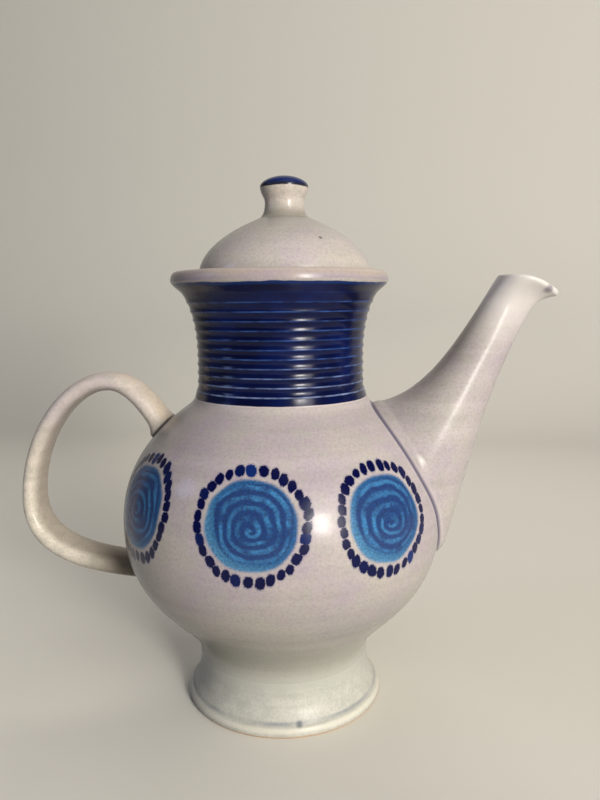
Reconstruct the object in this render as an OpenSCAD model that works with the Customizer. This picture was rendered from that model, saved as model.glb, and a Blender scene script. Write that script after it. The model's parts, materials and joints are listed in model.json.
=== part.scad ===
// Stoneware coffee pot: thrown foot, belly, ribbed collar and gallery rim,
// a pulled strap handle, a drawn spout and a domed lid with a turned knob.
// Origin: centre of the standing ring. +Z up, spout towards +X, millimetres.

/* [Foot] */
// Height of the foot, from the table to the joint with the belly
foot_h = 21.5; // [14:0.5:30]
// Radius of the bead around the bottom of the foot
foot_r = 45.9; // [43:0.1:52]
// Height of the bead
foot_bead = 4.6; // [3:0.1:6.5]
// Radius of the waist where the foot meets the belly
waist_r = 39.6; // [36:0.2:42]
// Wall of the foot ring at the waist
foot_wall = 5.6; // [4:0.2:8]
// How far the hollow under the foot widens towards the table
foot_flare = 3.4; // [1:0.2:5]

/* [Belly] */
// Height of the belly, from the foot joint to the collar joint
belly_h = 120; // [105:1:135]
// Radius of the belly at its widest
belly_r = 72.9; // [66:0.5:82]
// Height of the widest part above the foot joint
belly_mid = 63.5; // [55:0.5:70]
// Wall of the belly
belly_wall = 5; // [3.5:0.1:6.5]
// Thickness of the floor
floor_t = 5.5; // [4:0.5:9]
// Fall of the shoulder at its edge, in degrees below level
shoulder_slope = 34.5; // [28:0.5:42]
// Height of the small hollow that turns the shoulder up into the collar
shoulder_turn = 3.8; // [3:0.1:5]
// How much wider than the collar joint the shoulder edge is
shoulder_step = 3.3; // [2.5:0.1:4.5]

/* [Collar] */
// Height of the ribbed collar, from the shoulder to the lid seat
collar_h = 51.7; // [46:0.5:60]
// Radius of the collar at the joint with the shoulder
collar_foot_r = 39.4; // [38.5:0.1:42]
// Radius of the collar at its narrowest
collar_r = 37.9; // [36:0.1:39]
// Radius under the rim, where the collar turns out
collar_top_r = 43.4; // [41:0.2:45.5]
// Wall of the collar
collar_wall = 4.6; // [3.5:0.1:6]
// Number of throwing ribs
rib_count = 11; // [4:1:12]
// Distance from one rib to the next
rib_pitch = 3.88; // [3:0.02:4]
// Depth of the hollow between two ribs
rib_depth = 0.7; // [0.2:0.05:1.1]
// Height of the lowest rib above the shoulder joint
rib_start = 3.8; // [2:0.2:6]

/* [Rim and lid seat] */
// Outer radius of the rim
rim_r = 48.7; // [47:0.1:54]
// Height of the rim above the lid seat
rim_h = 4.4; // [3:0.1:7]
// Depth of the flare under the rim edge
rim_drop = 5.7; // [4:0.1:8]
// Radius of the throat that the lid skirt drops into
throat_r = 35; // [33:0.2:35.6]
// Thickness of the ledge that carries the lid
ledge_t = 4; // [3:0.2:6]
// Play of the lid in its seat and of its skirt in the throat, all round
lid_play = 3; // [2.8:0.1:4]

/* [Lid] */
// Radius of the lid at its edge
lid_r = 38.6; // [37:0.1:40]
// Height of the dome, from the lid seat to the knob
lid_h = 27.6; // [23:0.2:36]
// Thickness of the lid edge before it turns up into the dome
lid_edge = 2.4; // [1.8:0.1:5]
// Wall of the dome
lid_wall = 4.2; // [3.2:0.1:5.5]
// Depth of the skirt below the seat
skirt_h = 13; // [8:0.5:18]
// Wall of the skirt
skirt_wall = 3.4; // [2.6:0.1:4.5]
// How far the lid sits off centre in its seat, towards the spout
lid_shift = 2.5; // [0:0.1:2.5]

/* [Knob] */
// Height of the knob
knob_h = 18.4; // [16:0.2:25]
// Radius of the knob where it grows out of the dome
knob_foot_r = 11.4; // [9.8:0.1:13]
// Radius of the knob at its narrowest
knob_waist_r = 8.7; // [7:0.1:9.6]
// Radius of the head of the knob
knob_r = 10.7; // [9.6:0.1:13]
// Height of the crown on top of the head
knob_crown = 4.6; // [3:0.1:6]

/* [Spout] */
// Reach of the pouring lip from the axis of the pot
spout_reach = 120; // [112:0.5:130]
// Height of the pouring lip above the table
lip_z = 185.6; // [178:0.2:190]
// Rise of the back of the mouth above the lip
mouth_rise = 8.6; // [5:0.2:13]
// Length of the mouth from back to lip
mouth_len = 24.4; // [20:0.2:28]
// Half of the width of the mouth
mouth_w = 12.8; // [11:0.2:16]
// How far the sides of the mouth stand up above its middle plane
mouth_crown = 2.4; // [0:0.1:4]
// Half of the width of the spout below the mouth
spout_neck_w = 9.6; // [8.5:0.1:12]
// Half of the width of the spout at its saddle on the belly
spout_root_w = 28; // [22:0.5:31]
// Height of the bottom of the saddle above the foot joint
saddle_low = 47.5; // [42:0.5:56]
// Depth of the top of the saddle below the collar joint
saddle_top = 3; // [2:0.1:6]
// Wall of the spout at the saddle
spout_root_wall = 5; // [4:0.1:6.5]
// Wall of the spout at the mouth
lip_wall = 3; // [2.4:0.1:4]
// Bore of the hole through the belly wall behind the spout
spout_hole = 26; // [16:1:30]

/* [Handle] */
// Reach of the handle from the axis of the pot, to the middle of the strap
handle_reach = 123.4; // [115:0.2:135]
// Height of the farthest point of the handle above the foot joint
handle_mid = 68.6; // [62:0.2:76]
// Height of the top of the arch above the foot joint, to the middle of the strap
handle_top = 126.2; // [118:0.2:134]
// Distance of the top of the arch from the axis
arch_r = 82.4; // [76:0.2:88]
// Height of the lower root above the foot joint
handle_low = 35.8; // [30:0.2:42]
// Thickness of the strap at the top of the arch
strap_t = 8.8; // [7:0.1:11]
// Width of the strap
strap_w = 17; // [14:0.2:24]
// Extra thickness and width at the roots, as a share of the strap
root_swell = 0.5; // [0.2:0.05:0.8]

/* [Hidden] */
$fn = 96;
steps = 20;
around = 44;
glaze = "#b7ada9";
cobalt = "#27386e";

// Heights of the joints between the thrown pieces
z_belly = foot_h;
z_mid = foot_h + belly_mid;
z_collar = foot_h + belly_h;
z_seat = z_collar + collar_h;
z_knob = z_seat + lid_h;

function bez(p, t) =
    pow(1 - t, 3) * p[0] + 3 * pow(1 - t, 2) * t * p[1]
    + 3 * (1 - t) * t * t * p[2] + pow(t, 3) * p[3];
function curve(p, n = steps) = [for (i = [0 : n]) bez(p, i / n)];
function unit(v) = v / norm(v);
function mix(a, b, t) = a + (b - a) * t;
function ease(t) = let (u = min(1, max(0, t))) u * u * (3 - 2 * u);
// A line of profile points moved sideways by d, towards the axis on a line that climbs
function inset(pts, d) = [for (i = [0 : len(pts) - 1])
    let (a = pts[max(0, i - 1)], b = pts[min(len(pts) - 1, i + 1)], v = unit(b - a))
    pts[i] + d * [-v.y, v.x]];

// ---- thrown profiles, as points [radius, height] ----

foot_line = curve([[waist_r, foot_h], [waist_r, mix(foot_bead, foot_h, 0.45)],
    [foot_r - 4.4, mix(foot_bead, foot_h, 0.24)], [foot_r - 2, foot_bead + 0.3]], 12);
foot_bead_line = concat(
    curve([[foot_r - 1.8, foot_bead], [foot_r - 0.4, foot_bead - 0.3],
        [foot_r, foot_bead * 0.5], [foot_r - 0.1, foot_bead * 0.25]], 8),
    [[foot_r - 0.4, 0.3], [foot_r - 0.9, 0]]);

shoulder = [collar_foot_r + shoulder_step, z_collar - shoulder_turn];
shoulder_dir = [cos(shoulder_slope), -sin(shoulder_slope)];
belly_line = concat(
    curve([[waist_r, z_belly], [waist_r, z_belly + belly_mid * 0.3],
        [belly_r, z_mid - belly_mid * 0.6], [belly_r, z_mid]], 24),
    [for (i = [1 : 24]) bez([[belly_r, z_mid], [belly_r, z_mid + 8],
        shoulder + 37 * shoulder_dir, shoulder], i / 24)]);
belly_turn = curve([shoulder, shoulder - 2.2 * shoulder_dir,
    [collar_foot_r + 0.6, z_collar - 1.4], [collar_foot_r, z_collar]], 5);
belly_outer = concat(belly_line, [for (i = [1 : 5]) belly_turn[i]]);
z_floor = z_belly + floor_t;
belly_inner = [for (p = inset(belly_outer, belly_wall)) if (p.y > z_floor + 5 && p.y < z_collar - 1) p];

function belly_at(z) = lookup(z, [for (p = belly_outer) [p.y, p.x]]);

// Collar without its ribs: a hollow from the shoulder, then a widening throat
collar_low = curve([[collar_foot_r, z_collar], [collar_foot_r - 0.9, z_collar + 2.6],
    [collar_r, z_collar + 5], [collar_r, z_collar + 10.5]], 8);
collar_high = curve([[collar_r, z_collar + 10.5], [collar_r, z_collar + 22],
    [collar_top_r - 6.2, z_seat - rim_drop - 13], [collar_top_r, z_seat - rim_drop]], 16);
collar_line = concat(collar_low, [for (i = [1 : 16]) collar_high[i]]);
function collar_at(z) = lookup(z, [for (p = collar_line) [p.y, p.x]]);
// Scalloped outline: sharp crests with a hollow between each two
rib_low = z_collar + rib_start;
rib_high = rib_low + (rib_count - 1) * rib_pitch;
ribbed = [for (k = [0 : rib_count - 2], j = [0 : 5])
    let (z = rib_low + (k + j / 6) * rib_pitch)
    [collar_at(z) - rib_depth * sin(180 * j / 6), z]];
collar_outer = concat(
    [for (p = collar_line) if (p.y < rib_low - 0.5) p], ribbed,
    [[collar_at(rib_high), rib_high]],
    [for (i = [1 : 3]) let (z = mix(rib_high, z_seat - rim_drop, i / 4))
        [collar_at(z) - rib_depth * 0.5 * sin(45 * i), z]],
    curve([[collar_top_r, z_seat - rim_drop], [collar_top_r + 0.8, z_seat - rim_drop + 1.6],
        [rim_r - 0.7, z_seat - 2], [rim_r, z_seat]], 6));
collar_inner = [for (p = inset(collar_line, collar_wall))
    if (p.y > z_collar + 1 && p.y < z_seat - ledge_t - 3.5) p];

seat_r = lid_r + lid_play;
rim_outer = curve([[rim_r, z_seat], [rim_r + 0.1, z_seat + rim_h * 0.5],
    [rim_r - 0.9, z_seat + rim_h], [rim_r - 2.8, z_seat + rim_h]], 8);

// Lid edge, dome and knob, drawn about the lid's own axis
lid_line = concat(
    curve([[lid_r - 0.9, z_seat], [lid_r - 0.2, z_seat + 0.1],
        [lid_r, z_seat + 0.5], [lid_r, z_seat + 1.2]], 4),
    curve([[lid_r, z_seat + lid_edge], [lid_r, z_seat + lid_edge + 8.2],
        [knob_foot_r + 19.4, z_knob - 7.9], [knob_foot_r, z_knob]], 24));
lid_cave = [for (p = inset([for (p = lid_line) if (p.y > z_seat + lid_edge - 0.1) p], lid_wall))
    if (p.y > z_seat + 1.5) p];
knob_head = z_knob + knob_h - knob_crown;
knob_mid = mix(z_knob, knob_head, 0.5);
knob_line = concat(
    curve([[knob_foot_r, z_knob], [knob_waist_r + 0.9, z_knob + 1.2],
        [knob_waist_r, z_knob + 3.2], [knob_waist_r, knob_mid]], 8),
    [for (i = [1 : 8]) bez([[knob_waist_r, knob_mid], [knob_waist_r, knob_mid + 2.6],
        [knob_r, knob_head - 3.2], [knob_r, knob_head]], i / 8)],
    [for (i = [1 : 8]) bez([[knob_r, knob_head], [knob_r, knob_head + 1.8],
        [knob_r * 0.62, z_knob + knob_h], [0, z_knob + knob_h]], i / 8)]);
skirt_r = throat_r - lid_play;

// ---- spout: a loft between a crest line above and a throat line below ----

lip = [spout_reach, lip_z];
mouth_back = [spout_reach - mouth_len, lip_z + mouth_rise];
root_top = [belly_at(z_collar - saddle_top) + 0.5, z_collar - saddle_top];
root_low = [belly_at(z_belly + saddle_low) - 0.6, z_belly + saddle_low];
// A step along the spout's curves, in keeping with its reach and its height
function pull(x, z) = [x * spout_reach / 120, z * lip_z / 185.6];
// Where the throat line leaves the root and where it turns out into the lip
throat_a = root_low + pull(6, 7.5);
throat_b = lip - pull(11.5, 8.3);
root_end = 0.12;
neck_end = 0.88;

function crest(t) = bez([root_top, root_top + pull(23.2, 3.2),
    mouth_back - pull(17, 28.6), mouth_back], t);
function throat(t) =
    t < root_end ? bez([root_low, root_low + pull(2.5, 1), throat_a - pull(1, 3), throat_a], t / root_end)
    : t < neck_end ? bez([throat_a, throat_a + pull(10.7, 38.7), throat_b - pull(18.4, 37.8), throat_b],
        (t - root_end) / (neck_end - root_end))
    : bez([throat_b, throat_b + pull(3, 6.2), lip - pull(4.5, 0.5), lip], (t - neck_end) / (1 - neck_end));
function spout_half(t) = t < neck_end
    ? bez([spout_root_w, spout_root_w * 0.86, spout_neck_w + 4.5, spout_neck_w], t / neck_end)
    : mix(spout_neck_w, mouth_w, ease((t - neck_end) / (1 - neck_end) * 0.75) * 1.185);
function spout_wall(t) = mix(spout_root_wall, lip_wall, ease(t * 1.2));
// The section narrows towards its lower end at the saddle and again at the beak
function egg(t) = t < 0.6 ? mix(0.3, 0.1, ease(t / 0.6)) : mix(0.1, 0.42, ease((t - 0.75) / 0.25));
function pinch(t, c) = 1 - egg(t) * (sqrt(c * c + 0.05) - c) / 2;
function slope(f, t) = let (e = 0.004, a = max(0, t - e), b = min(1, t + e))
    unit(f == "crest" ? crest(b) - crest(a) : throat(b) - throat(a));
// Point of the spout's skin: t along, a around, k = 0 outside and 1 inside
function skin(t, a, k) =
    let (w = k * spout_wall(t), u = slope("crest", t), v = slope("throat", t),
        p = crest(t) + w * [u.y, -u.x], q = throat(t) + w * [-v.y, v.x],
        m = (p + q) / 2, h = (p - q) / 2, c = cos(a), s = sin(a),
        lift = mouth_crown * ease((t - 0.7) / 0.3) * s * s)
    [m.x + h.x * c, (spout_half(t) - w) * pinch(t, c) * s, m.y + h.y * c + lift];
// The rounded edge of the mouth, from the outer skin over to the inner one
function edge(a, f) =
    let (o = skin(1, a, 0), i = skin(1, a, 1), b = skin(0.985, a, 0), out = unit(o - b))
    (o + i) / 2 + (o - i) / 2 * cos(f) + out * norm(o - i) / 2 * sin(f);

turns = [for (j = [0 : around - 1]) 360 * j / around];
spout_t = concat([for (i = [0 : 3]) root_end * i / 4], [for (i = [0 : 15]) mix(root_end, neck_end, i / 16)],
    [for (i = [0 : 5]) mix(neck_end, 1, i / 5)]);
spout_rings = concat(
    [for (t = spout_t) [for (a = turns) skin(t, a, 0)]],
    [for (f = [30 : 30 : 150]) [for (a = turns) edge(a, f)]],
    [for (i = [len(spout_t) - 1 : -1 : 0]) [for (a = turns) skin(spout_t[i], a, 1)]]);

// Skin between closed rings of equal count; loop = true joins the last ring to the first
module loft(rings, loop = false) {
    n = len(rings[0]);
    m = len(rings);
    last = loop ? m - 1 : m - 2;
    sides = [for (i = [0 : last], j = [0 : n - 1])
        let (a = i * n + j, b = i * n + (j + 1) % n, c = ((i + 1) % m) * n + (j + 1) % n,
            d = ((i + 1) % m) * n + j)
        each [[a, b, c], [a, c, d]]];
    ends = loop ? [] : [[for (j = [n - 1 : -1 : 0]) j], [for (j = [0 : n - 1]) (m - 1) * n + j]];
    polyhedron([for (r = rings) each r], concat(sides, ends), convexity = 8);
}

// ---- handle: a strap of oval section carried along three joined curves ----

handle_start = [52.6, z_belly + handle_top - 28.4];
handle_apex = [arch_r, z_belly + handle_top];
handle_out = [handle_reach, z_belly + handle_mid];
handle_end = [60, z_belly + handle_low];
function strap_line(t) =
    t < 1 ? bez([handle_start, handle_start + 31 * [cos(64), sin(64)],
        handle_apex - [4.5, 0], handle_apex], t)
    : t < 2 ? bez([handle_apex, handle_apex + [20.8, 0], handle_out + [0, 28.6], handle_out], t - 1)
    : bez([handle_out, handle_out - [0, 17], handle_end + [53, 1], handle_end], t - 2);
function strap_dir(t) = unit(strap_line(min(3, t + 0.01)) - strap_line(max(0, t - 0.01)));
// Swelling of the strap: most at the two roots, more in the lower bend than in the arch
function swell(t) = 1 + root_swell * 0.3 * (1 - ease(t)) + root_swell * 0.5 * ease((t - 1.7) / 1.1);
function strap_ring(t) =
    let (p = strap_line(t), v = strap_dir(t), s = swell(t),
        h = strap_t / 2 * s, w = strap_w / 2 * (1 + (s - 1) * 0.6))
    [for (j = [0 : 23]) let (c = cos(15 * j), d = -sin(15 * j), x = h * sign(c) * pow(abs(c), 0.9))
        [-(p.x - v.y * x), w * sign(d) * pow(abs(d), 0.9), p.y + v.x * x]];
strap_rings = [for (i = [0 : 42]) strap_ring(3 * i / 42)];

// ---- pieces ----

// The outside of the belly and collar as a filled form, to seat spout and handle on
module pot_form() {
    rotate_extrude()
        polygon(concat([[0, z_belly - 1]], [[waist_r, z_belly - 1]], belly_outer,
            [[collar_foot_r - 0.3, z_collar + 2], [0, z_collar + 2]]));
}

module pot_foot() {
    color("#c3b5a8")
    rotate_extrude()
        polygon(concat(foot_line, foot_bead_line,
            [[waist_r - foot_wall + foot_flare + 1, 0],
            [waist_r - foot_wall + foot_flare, 1], [waist_r - foot_wall, foot_h]]));
}

module pot_belly() {
    color(glaze)
    difference() {
        rotate_extrude()
            polygon(concat([[0, z_belly]], belly_outer,
                [[collar_foot_r - collar_wall, z_collar]],
                [for (i = [len(belly_inner) - 1 : -1 : 0]) belly_inner[i]],
                [[waist_r - belly_wall - 3.5, z_floor + 1.6], [waist_r - belly_wall - 8, z_floor], [0, z_floor]]));
        // hole that lets the coffee into the spout
        translate([belly_r - belly_wall * 2.2, 0, z_mid + belly_h / 6])
            rotate([0, 75, 0])
                translate([0, 0, -belly_h / 6])
                    cylinder(h = belly_h / 2, d = spout_hole);
    }
}

module pot_collar() {
    color(cobalt)
    rotate_extrude()
        polygon(concat(collar_outer,
            [[throat_r, z_seat], [throat_r, z_seat - ledge_t]],
            [for (i = [len(collar_inner) - 1 : -1 : 0]) collar_inner[i]],
            [[collar_foot_r - collar_wall, z_collar]]));
}

module pot_rim() {
    color(glaze)
    rotate_extrude()
        polygon(concat([[seat_r, z_seat]], rim_outer,
            [[seat_r + 1.4, z_seat + rim_h - 0.3], [seat_r + 0.3, z_seat + rim_h - 1.4]]));
}

module spout() {
    color(glaze)
    difference() {
        loft(spout_rings, loop = true);
        pot_form();
    }
}

module handle() {
    color("#b3a59c")
    difference() {
        loft(strap_rings);
        pot_form();
    }
}

module lid_dome() {
    color(glaze)
    translate([lid_shift, 0, 0])
    rotate_extrude()
        polygon(concat([[skirt_r - skirt_wall, z_seat]], lid_line, [[0, z_knob], [0, z_knob - lid_wall]],
            [for (i = [len(lid_cave) - 1 : -1 : 0]) if (lid_cave[i].x < skirt_r - skirt_wall - 0.5) lid_cave[i]]));
}

module lid_skirt() {
    color(glaze)
    translate([lid_shift, 0, z_seat - skirt_h])
    rotate_extrude()
        polygon([[skirt_r - skirt_wall, 1], [skirt_r - skirt_wall, skirt_h], [skirt_r, skirt_h],
            [skirt_r, 1], [skirt_r - 0.8, 0], [skirt_r - skirt_wall + 0.8, 0]]);
}

module lid_knob() {
    color("#b9aca4")
    translate([lid_shift, 0, 0])
    rotate_extrude()
        polygon(concat([[0, z_knob]], knob_line));
}

pot_foot();
pot_belly();
pot_collar();
pot_rim();
spout();
handle();
lid_dome();
lid_skirt();
lid_knob();
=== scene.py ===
# Stoneware coffee pot: foot, belly, ribbed collar, gallery rim, spout, strap handle and domed lid.
# Lengths are in millimetres where a shape is drawn, and in metres once it is a mesh.
import json

import bmesh
import bpy
from math import cos, hypot, pi, radians, sin, sqrt
from mathutils import Matrix, Vector
from mathutils.kdtree import KDTree

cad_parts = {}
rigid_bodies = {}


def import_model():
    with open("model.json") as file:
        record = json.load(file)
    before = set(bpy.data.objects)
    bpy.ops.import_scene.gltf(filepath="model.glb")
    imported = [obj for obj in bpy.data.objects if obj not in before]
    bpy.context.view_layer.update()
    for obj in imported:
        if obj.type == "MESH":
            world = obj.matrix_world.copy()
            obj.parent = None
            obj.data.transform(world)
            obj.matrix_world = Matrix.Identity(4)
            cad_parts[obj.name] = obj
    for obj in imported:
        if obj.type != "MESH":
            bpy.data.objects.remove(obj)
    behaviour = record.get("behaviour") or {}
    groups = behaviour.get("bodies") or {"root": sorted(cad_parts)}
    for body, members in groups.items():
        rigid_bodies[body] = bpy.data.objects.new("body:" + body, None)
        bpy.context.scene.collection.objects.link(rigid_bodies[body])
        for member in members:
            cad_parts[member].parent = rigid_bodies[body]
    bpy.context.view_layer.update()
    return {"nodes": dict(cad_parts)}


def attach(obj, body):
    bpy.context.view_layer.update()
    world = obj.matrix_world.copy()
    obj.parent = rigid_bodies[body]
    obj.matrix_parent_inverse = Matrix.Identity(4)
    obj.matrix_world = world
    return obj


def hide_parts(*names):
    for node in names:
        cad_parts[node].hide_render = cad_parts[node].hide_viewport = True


for leftOver in list(bpy.data.objects):  # start from an empty file
    bpy.data.objects.remove(leftOver)
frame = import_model()
mm = 0.001
print("frame loaded:", len(frame["nodes"]), "nodes")


# drawing aids, for outlines in millimetres

def bezier(corners, t):
    weights = ((1 - t) ** 3, 3 * (1 - t) ** 2 * t, 3 * (1 - t) * t * t, t ** 3)
    return tuple(sum(w * c[i] for w, c in zip(weights, corners)) for i in (0, 1))


def drawCurve(corners, count, first=0):
    return [bezier(corners, i / count) for i in range(first, count + 1)]


def mix(a, b, t):
    return a + (b - a) * t


def ease(t):
    u = min(1.0, max(0.0, t))
    return u * u * (3 - 2 * u)


def sideStep(points, distance):  # an outline moved sideways, towards the axis where it climbs
    moved = []
    for i, (x, z) in enumerate(points):
        ax, az = points[max(0, i - 1)]
        bx, bz = points[min(len(points) - 1, i + 1)]
        length = hypot(bx - ax, bz - az)
        moved.append((x - distance * (bz - az) / length, z + distance * (bx - ax) / length))
    return moved


def pulled(start, end, leaving, arriving):  # corners of a curve between two points, by its pull at each
    return [start, (start[0] + leaving[0], start[1] + leaving[1]),
            (end[0] + arriving[0], end[1] + arriving[1]), end]


def readOutline(points, height):  # radius of an outline at a height
    if height <= points[0][1]:
        return points[0][0]
    for (ra, za), (rb, zb) in zip(points, points[1:]):
        if za <= height <= zb and zb > za:
            return mix(ra, rb, (height - za) / (zb - za))
    return points[-1][0]


# modelling aids

def startPiece(name):
    piece = bpy.context.object
    piece.name = name
    piece.data.name = name
    bpy.ops.object.mode_set(mode="EDIT")
    return piece, bmesh.from_edit_mesh(piece.data)


def closeSkin(angle=35):  # seams merged, faces outwards, soft shading with real corners kept
    bpy.ops.mesh.select_all(action="SELECT")
    bpy.ops.mesh.remove_doubles(threshold=0.000004)
    bpy.ops.mesh.delete_loose()
    bpy.ops.mesh.select_all(action="SELECT")
    bpy.ops.mesh.normals_make_consistent(inside=False)
    bpy.ops.object.mode_set(mode="OBJECT")
    bpy.ops.object.shade_smooth_by_angle(angle=radians(angle))


def throwPiece(name, outline, steps, centre=0.0, angle=35):
    # A ring of points is pulled onto the half section, then spun round the axis as on a wheel
    bpy.ops.object.select_all(action="DESELECT")
    bpy.ops.mesh.primitive_circle_add(vertices=len(outline), radius=0.02)
    piece, grid = startPiece(name)
    grid.verts.ensure_lookup_table()
    onAxis = [i for i, point in enumerate(outline) if point[0] < 0.001]
    for vert, (radius, height) in zip(grid.verts, outline):
        vert.co = ((centre + radius) * mm, 0, height * mm)
    if len(onAxis) > 1:  # the edge along the axis would spin into nothing
        for edge in list(grid.edges):
            if all(v.index in onAxis for v in edge.verts):
                grid.edges.remove(edge)
    bmesh.update_edit_mesh(piece.data)
    bpy.ops.mesh.select_all(action="SELECT")
    bpy.ops.mesh.spin(steps=steps, angle=2 * pi, center=(centre * mm, 0, 0), axis=(0, 0, 1))
    closeSkin(angle)
    print("thrown:", name, len(piece.data.polygons), "faces")
    return piece


def pullPiece(name, rows, angle=35, cap=False):
    # A flat grid with a row for each section is wrapped round the sections and sewn shut
    bpy.ops.object.select_all(action="DESELECT")
    around, along = len(rows[0]), len(rows)
    bpy.ops.mesh.primitive_grid_add(x_subdivisions=around, y_subdivisions=along - 1, size=0.1)
    piece, grid = startPiece(name)
    grid.verts.ensure_lookup_table()
    for vert in grid.verts:
        row, column = divmod(vert.index, around + 1)
        vert.co = Vector(rows[row][column % around]) * mm
    bmesh.update_edit_mesh(piece.data)
    bpy.ops.mesh.select_all(action="SELECT")
    bpy.ops.mesh.remove_doubles(threshold=0.000004)
    if cap:  # both ends are filled
        bpy.ops.mesh.select_all(action="DESELECT")
        bpy.ops.mesh.select_mode(type="EDGE")
        bpy.ops.mesh.select_non_manifold()
        bpy.ops.mesh.edge_face_add()
        bpy.ops.mesh.select_mode(type="VERT")
    closeSkin(angle)
    print("pulled:", name, len(piece.data.polygons), "faces")
    return piece


def writeValues(piece, name, read):  # one number for each point of the mesh, for its material
    layer = piece.data.attributes.new(name, "FLOAT", "POINT")
    layer.data.foreach_set("value", [read(v.co) for v in piece.data.vertices])


# foot: a turned ring that sweeps out to a rounded bead, hollow underneath

foot = {"height": 21.5, "radius": 45.9, "bead": 4.6, "waist": 39.6, "wall": 5.6, "flare": 3.4,
        "turns": 192}
footSide = drawCurve([(foot["waist"], foot["height"]),
                      (foot["waist"], mix(foot["bead"], foot["height"], 0.45)),
                      (foot["radius"] - 4.4, mix(foot["bead"], foot["height"], 0.24)),
                      (foot["radius"] - 2, foot["bead"] + 0.3)], 22)
footBead = drawCurve([(foot["radius"] - 1.8, foot["bead"]), (foot["radius"] - 0.4, foot["bead"] - 0.3),
                      (foot["radius"], foot["bead"] * 0.5), (foot["radius"] - 0.1, foot["bead"] * 0.25)], 10)
footInside = foot["waist"] - foot["wall"]
footMouth = footInside + foot["flare"]
footUnder = [(foot["radius"] - 0.35, 0.45), (foot["radius"] - 0.55, 0.15), (foot["radius"] - 0.9, 0),
             (footMouth + 1.2, 0), (footMouth + 0.4, 0.25), (footMouth, 1),
             (footInside + foot["flare"] * 0.5, mix(1, foot["height"], 0.5)), (footInside, foot["height"])]
footPiece = throwPiece("footRing", footSide + footBead + footUnder, foot["turns"], angle=50)

# belly, with the sizes of the collar and rim that it carries
belly = {"height": 120, "radius": 72.9, "middle": 63.5, "wall": 5, "floor": 5.5, "turns": 224,
         "shoulderFall": 34.5, "shoulderTurn": 3.8, "shoulderStep": 3.3, "shoulderPull": 37, "neckPull": 2.2,
         "hole": 26, "holeRise": 20, "holeTilt": 75, "holeDepth": 30}
collar = {"height": 51.7, "foot": 39.4, "radius": 37.9, "top": 43.4, "wall": 4.6, "turns": 224,
          "ribs": 11, "pitch": 3.88, "depth": 0.5, "start": 3.8, "hollow": 0.85, "ribParts": 10}
rim = {"radius": 48.7, "height": 4.4, "drop": 5.7, "throat": 35, "ledge": 4, "play": 3, "turns": 192}

zBelly = foot["height"]
zMiddle = zBelly + belly["middle"]
zCollar = zBelly + belly["height"]
zSeat = zCollar + collar["height"]
fall = (cos(radians(belly["shoulderFall"])), -sin(radians(belly["shoulderFall"])))
shoulder = (collar["foot"] + belly["shoulderStep"], zCollar - belly["shoulderTurn"])
bellySide = (drawCurve([(foot["waist"], zBelly), (foot["waist"], zBelly + belly["middle"] * 0.3),
                        (belly["radius"], zMiddle - belly["middle"] * 0.6), (belly["radius"], zMiddle)], 40)
             + drawCurve([(belly["radius"], zMiddle), (belly["radius"], zMiddle + 8),
                          (shoulder[0] + belly["shoulderPull"] * fall[0],
                           shoulder[1] + belly["shoulderPull"] * fall[1]), shoulder], 40, 1)
             + drawCurve([shoulder, (shoulder[0] - belly["neckPull"] * fall[0],
                                     shoulder[1] - belly["neckPull"] * fall[1]),
                          (collar["foot"] + 0.6, zCollar - 1.4), (collar["foot"], zCollar)], 8, 1))
zFloor = zBelly + belly["floor"]
bellyInside = [p for p in sideStep(bellySide, belly["wall"])[::2] if zFloor + 5 < p[1] < zCollar - 1]
bellyPiece = throwPiece("bellyShell",
                        [(0, zBelly), (foot["waist"] * 0.55, zBelly)] + bellySide
                        + [(collar["foot"] - collar["wall"], zCollar)] + bellyInside[::-1]
                        + [(foot["waist"] - belly["wall"] - 3.5, zFloor + 1.6),
                           (foot["waist"] - belly["wall"] - 8, zFloor),
                           (foot["waist"] * 0.4, zFloor), (0, zFloor)],
                        belly["turns"])

# the way into the spout, cut through the wall
bpy.ops.object.select_all(action="DESELECT")
bpy.ops.mesh.primitive_cylinder_add(
    vertices=48, radius=belly["hole"] / 2 * mm, depth=belly["holeDepth"] * mm,
    location=((belly["radius"] - belly["wall"] - 6) * mm, 0, (zMiddle + belly["holeRise"]) * mm),
    rotation=(0, radians(belly["holeTilt"]), 0))
cutter = bpy.context.object
bpy.ops.object.select_all(action="DESELECT")
bellyPiece.select_set(True)
bpy.context.view_layer.objects.active = bellyPiece
bpy.ops.object.modifier_add(type="BOOLEAN")
bellyPiece.modifiers[-1].object = cutter
bellyPiece.modifiers[-1].operation = "DIFFERENCE"
bpy.ops.object.modifier_apply(modifier=bellyPiece.modifiers[-1].name)
bpy.data.objects.remove(cutter)
print("belly cut:", len(bellyPiece.data.polygons), "faces")


def bellyAt(height):
    return readOutline(bellySide, height)


def offBelly(x, y, z):  # how far a point stands off the belly, in millimetres
    slope = bellyAt(z + 0.5) - bellyAt(z - 0.5)
    return (hypot(x, y) - bellyAt(z)) / sqrt(1 + slope * slope)


# ribbed collar: throwing ridges on a wall that flares out to the gallery

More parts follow.
